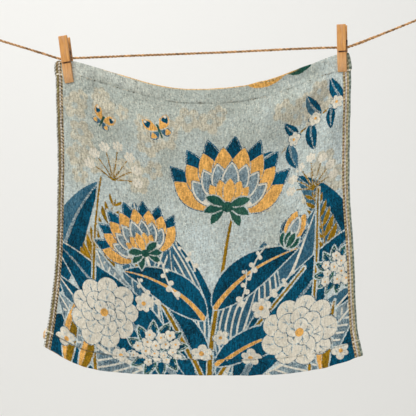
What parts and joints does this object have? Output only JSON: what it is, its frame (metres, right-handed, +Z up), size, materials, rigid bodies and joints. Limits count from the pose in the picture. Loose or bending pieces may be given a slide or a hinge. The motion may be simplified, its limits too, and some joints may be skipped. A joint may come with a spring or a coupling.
{
  "type": "gauze tea towel on a pegged twine line",
  "caption": "Square gauze tea towel with a woven botanical pattern, held by its top corners with wooden clothes pegs on a jute twine line with looped ends.",
  "frame": {"origin": "middle of the loop at the left end of the line", "axes": "+X along the line to its right end, +Z up the hanging towel, and the face of the towel towards -Y"},
  "size_m": [0.4937, 0.0207, 0.3922],
  "materials": {
    "gauze": "jacquard-woven cotton gauze, matt and slubby",
    "peg_wood": "plain sawn pale wood, unvarnished",
    "spring_wire": "drawn wire, darkened",
    "jute_twine": "twisted jute, hairy and matt"
  },
  "bodies": {
    "root": {"towel": "gauze", "peg_left_front": "peg_wood", "peg_left_back": "peg_wood", "peg_left_spring": "spring_wire", "peg_right_front": "peg_wood", "peg_right_back": "peg_wood", "peg_right_spring": "spring_wire", "line": "jute_twine", "loop_left": "jute_twine", "loop_right": "jute_twine"}
  },
  "joints": []
}
